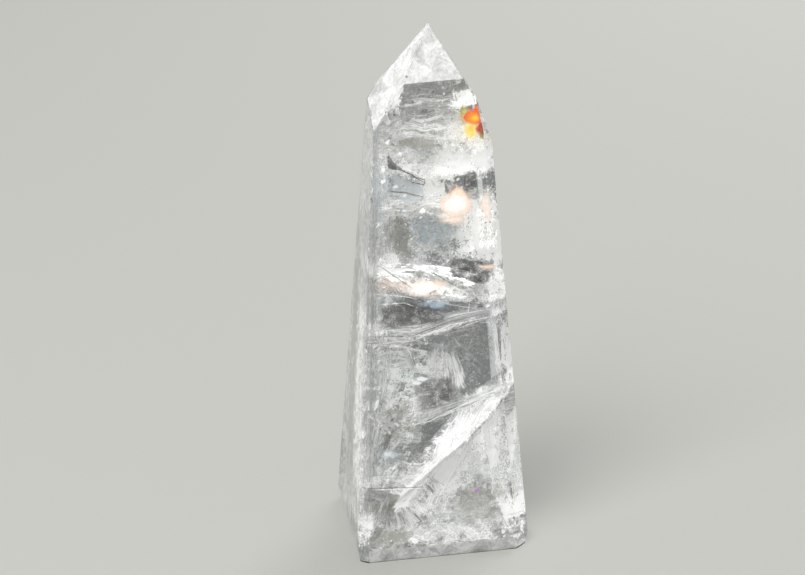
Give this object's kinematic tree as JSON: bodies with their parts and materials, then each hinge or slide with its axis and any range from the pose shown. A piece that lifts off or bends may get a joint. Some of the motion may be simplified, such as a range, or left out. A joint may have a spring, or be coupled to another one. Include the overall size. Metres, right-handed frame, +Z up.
{
  "type": "quartz crystal",
  "caption": "Clear quartz ground and polished into a tapering upright tower with a pointed top, flawed inside by white veils and fractures.",
  "frame": {"origin": "centre of the bounding box at the flat base", "axes": "+Z up through the point; -Y out of the broad front face; +X to the right of it"},
  "size_m": [0.023, 0.0218, 0.0703],
  "materials": {
    "clear_quartz": "clear, polished flat faces over white internal veils and fractures"
  },
  "bodies": {
    "root": {"crystal": "clear_quartz"}
  },
  "joints": []
}
